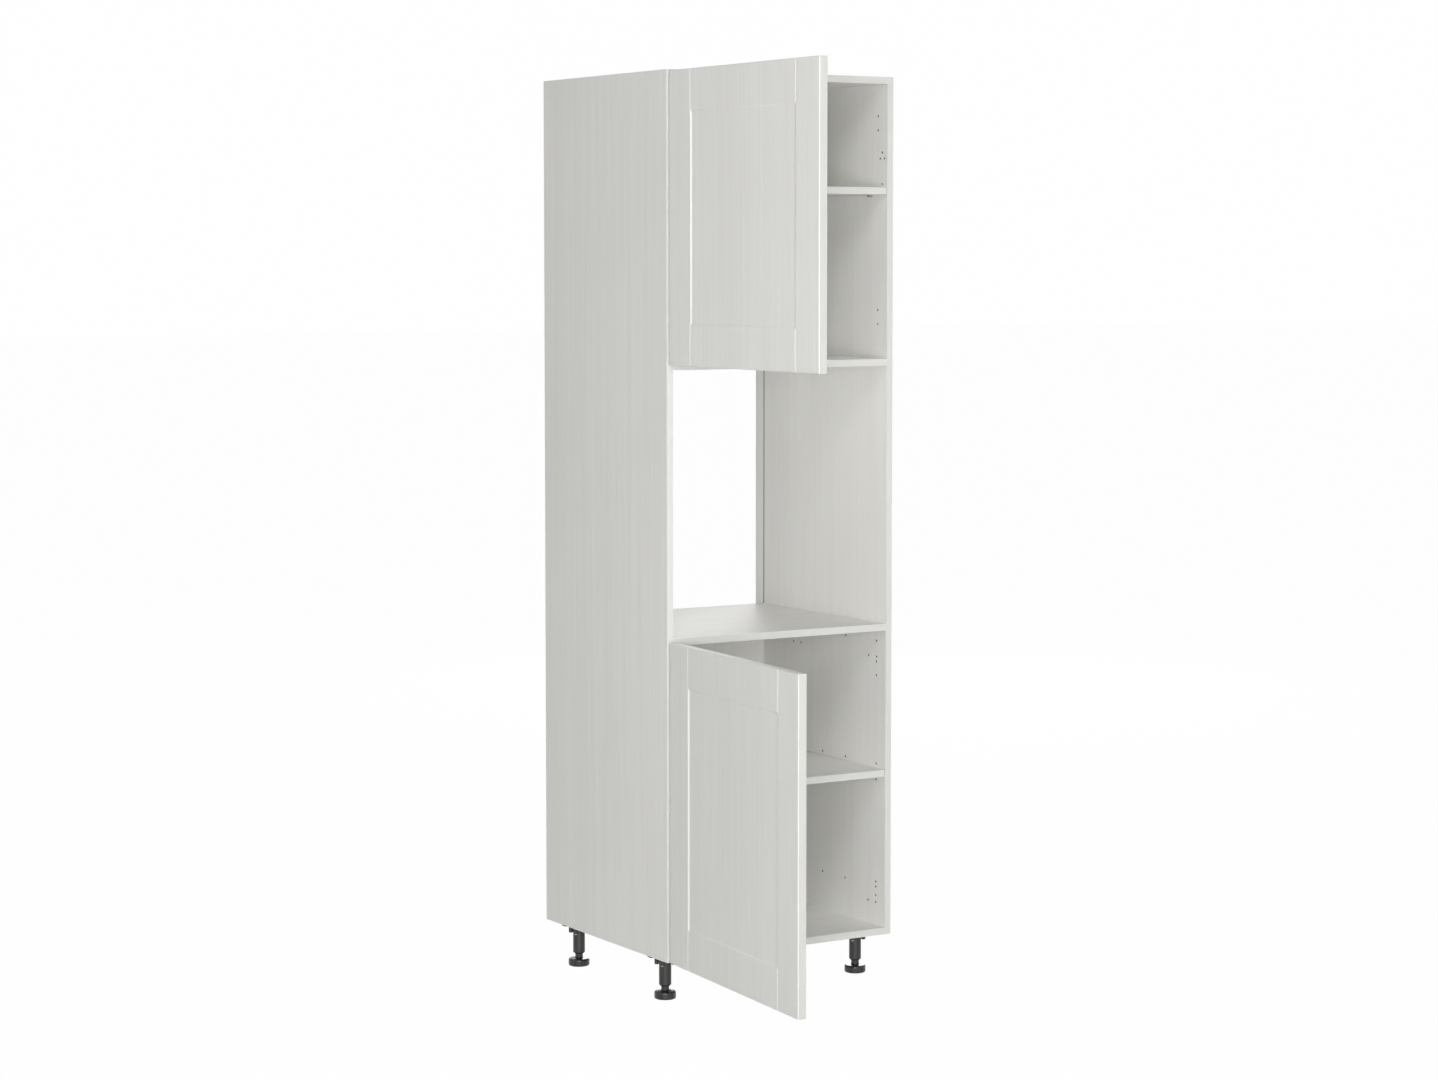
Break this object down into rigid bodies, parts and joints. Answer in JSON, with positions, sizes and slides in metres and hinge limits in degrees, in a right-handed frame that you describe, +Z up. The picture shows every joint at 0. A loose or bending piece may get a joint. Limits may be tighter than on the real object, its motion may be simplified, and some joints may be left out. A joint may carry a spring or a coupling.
{
  "type": "appliance housing cabinet",
  "caption": "Tall kitchen cabinet for a built-in appliance, with an open niche between two shelved compartments behind framed doors on cup hinges, on screw-adjusted legs.",
  "frame": {"origin": "on the floor, in the middle of the whole footprint with both doors open as in the picture", "axes": "+X along the cabinet's front to its right as one faces it, +Y from the front to the back, +Z up"},
  "size_m": [0.6456, 1.1652, 2.07],
  "materials": {
    "board": "melamine-faced chipboard with a fine upright grain, silk matt",
    "edge_band": "thin glued edging strip, silk matt",
    "back_board": "thin fibreboard with a printed face",
    "door_foil": "foil-wrapped fibreboard with a fine grain, silk matt",
    "cast_zinc": "die-cast zinc, dull",
    "zinc_steel": "zinc-plated steel",
    "dowel_wood": "plain beech",
    "support_steel": "nickel-plated steel",
    "bumper_rubber": "soft clear-grey rubber",
    "pin_steel": "ground steel",
    "hinge_nickel": "nickel-plated pressed steel",
    "link_steel": "nickel-plated steel",
    "leg_plastic": "black moulded plastic, satin",
    "foot_plastic": "black moulded plastic, slightly glossy"
  },
  "bodies": {
    "cabinet": {"left_side_panel": "board", "right_side_panel": "board", "bottom_panel": "board", "niche_floor_panel": "board", "niche_top_panel": "board", "top_panel": "board", "lower_shelf": "board", "upper_shelf": "board", "lower_shelf_supports": "support_steel", "upper_shelf_supports": "support_steel", "lower_back_panel": "back_board", "upper_back_panel": "back_board", "side_edge_bands": "edge_band", "panel_edge_bands": "edge_band", "shelf_edge_bands": "edge_band", "cam_bolts": "zinc_steel", "cam_locks": "cast_zinc", "dowels": "dowel_wood", "leg_pins": "zinc_steel", "hinge_plate_screws": "zinc_steel", "hinge_arm_screws": "zinc_steel", "front_left_leg": "leg_plastic", "front_right_leg": "leg_plastic", "rear_left_leg": "leg_plastic", "rear_right_leg": "leg_plastic", "upper_door_bottom_hinge_plate": "hinge_nickel", "upper_door_bottom_hinge_arm": "hinge_nickel", "upper_door_top_hinge_plate": "hinge_nickel", "upper_door_top_hinge_arm": "hinge_nickel", "upper_door_arm_pins": "pin_steel", "lower_door_bottom_hinge_plate": "hinge_nickel", "lower_door_bottom_hinge_arm": "hinge_nickel", "lower_door_top_hinge_plate": "hinge_nickel", "lower_door_top_hinge_arm": "hinge_nickel", "lower_door_arm_pins": "pin_steel"},
    "upper_door_links": {"upper_door_bottom_hinge_link": "link_steel", "upper_door_top_hinge_link": "link_steel"},
    "upper_door_leaf": {"upper_door": "door_foil", "upper_door_bottom_hinge_cup": "hinge_nickel", "upper_door_top_hinge_cup": "hinge_nickel", "upper_door_cup_pins": "pin_steel", "upper_door_cup_screws": "zinc_steel", "upper_door_bumpers": "bumper_rubber"},
    "lower_door_links": {"lower_door_bottom_hinge_link": "link_steel", "lower_door_top_hinge_link": "link_steel"},
    "lower_door_leaf": {"lower_door": "door_foil", "lower_door_bottom_hinge_cup": "hinge_nickel", "lower_door_top_hinge_cup": "hinge_nickel", "lower_door_cup_pins": "pin_steel", "lower_door_cup_screws": "zinc_steel", "lower_door_bumpers": "bumper_rubber"},
    "front_left_foot": {"front_left_foot": "foot_plastic"},
    "front_right_foot": {"front_right_foot": "foot_plastic"},
    "rear_left_foot": {"rear_left_foot": "foot_plastic"},
    "rear_right_foot": {"rear_right_foot": "foot_plastic"}
  },
  "joints": [
    {"name": "upper_door_link_turn", "type": "hinge", "parent": "cabinet", "child": "upper_door_links", "pos_m": [-0.24318, 0.02558, 1.746], "axis": [0, 0, 1], "range_deg": [-20.5, 1.83]},
    {"name": "upper_door_swing", "type": "hinge", "parent": "upper_door_links", "child": "upper_door_leaf", "pos_m": [-0.2631, 0.00662, 1.746], "axis": [0, 0, 1], "range_deg": [-7.33, 110]},
    {"name": "lower_door_link_turn", "type": "hinge", "parent": "cabinet", "child": "lower_door_links", "pos_m": [-0.24318, 0.02558, 0.45775], "axis": [0, 0, 1], "range_deg": [-21.52, 0.81]},
    {"name": "lower_door_swing", "type": "hinge", "parent": "lower_door_links", "child": "lower_door_leaf", "pos_m": [-0.26276, 0.00627, 0.45775], "axis": [0, 0, 1], "range_deg": [-1.71, 115.62]},
    {"name": "front_left_foot_height", "type": "slide", "parent": "cabinet", "child": "front_left_foot", "axis": [0, 0, 1], "range_m": [-0.03, 0.008]},
    {"name": "front_right_foot_height", "type": "slide", "parent": "cabinet", "child": "front_right_foot", "axis": [0, 0, 1], "range_m": [-0.03, 0.008]},
    {"name": "rear_left_foot_height", "type": "slide", "parent": "cabinet", "child": "rear_left_foot", "axis": [0, 0, 1], "range_m": [-0.03, 0.008]},
    {"name": "rear_right_foot_height", "type": "slide", "parent": "cabinet", "child": "rear_right_foot", "axis": [0, 0, 1], "range_m": [-0.03, 0.008]}
  ],
  "couplings": [
    {"joint": "upper_door_link_turn", "follows": "upper_door_swing", "ratio": -0.18182},
    {"joint": "lower_door_link_turn", "follows": "lower_door_swing", "ratio": -0.18182}
  ]
}
